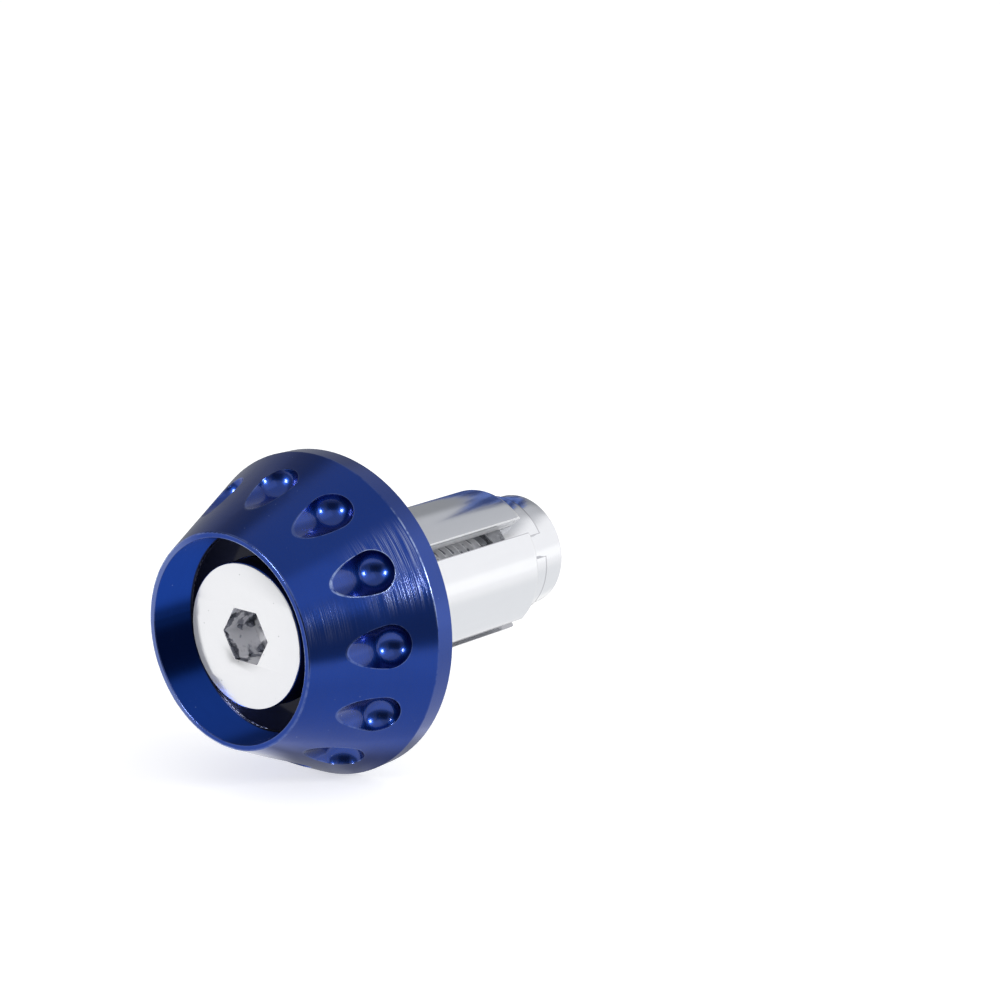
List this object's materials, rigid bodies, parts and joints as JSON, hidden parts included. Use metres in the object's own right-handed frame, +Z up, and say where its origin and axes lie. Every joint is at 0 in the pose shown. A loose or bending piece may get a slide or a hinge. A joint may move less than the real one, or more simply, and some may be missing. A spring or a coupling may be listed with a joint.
{
  "type": "bar end weight",
  "caption": "Dimpled conical bar end weight with a recessed hex screw and a slotted expander plug that clamps inside a handlebar tube.",
  "frame": {"origin": "on the turning axis, in the plane where the end of the bar meets the grip washer", "axes": "+X along the axis into the bar, -X out of the cup, +Z up with the bar level"},
  "size_m": [0.0503, 0.038, 0.038],
  "materials": {
    "blue_anodised": "blue anodised, fine turned",
    "white_plastic": "semi gloss",
    "bright_aluminium": "polished",
    "nut_aluminium": "turned bright",
    "satin_steel": "satin"
  },
  "bodies": {
    "housing": {"weight_body": "blue_anodised", "grip_washer": "white_plastic", "expander_sleeve": "bright_aluminium"},
    "screw": {"clamp_screw": "satin_steel"},
    "nut": {"wedge_nut": "nut_aluminium"}
  },
  "joints": [
    {"name": "screw_turn", "type": "hinge", "parent": "housing", "child": "screw", "pos_m": [0, 0, 0], "axis": [1, 0, 0], "range_deg": [-1080, 0]},
    {"name": "nut_draw", "type": "slide", "parent": "housing", "child": "nut", "axis": [1, 0, 0], "range_m": [0, 0.00375]}
  ],
  "couplings": [
    {"joint": "nut_draw", "follows": "screw_turn", "m_per_rad": -0.00019894}
  ]
}
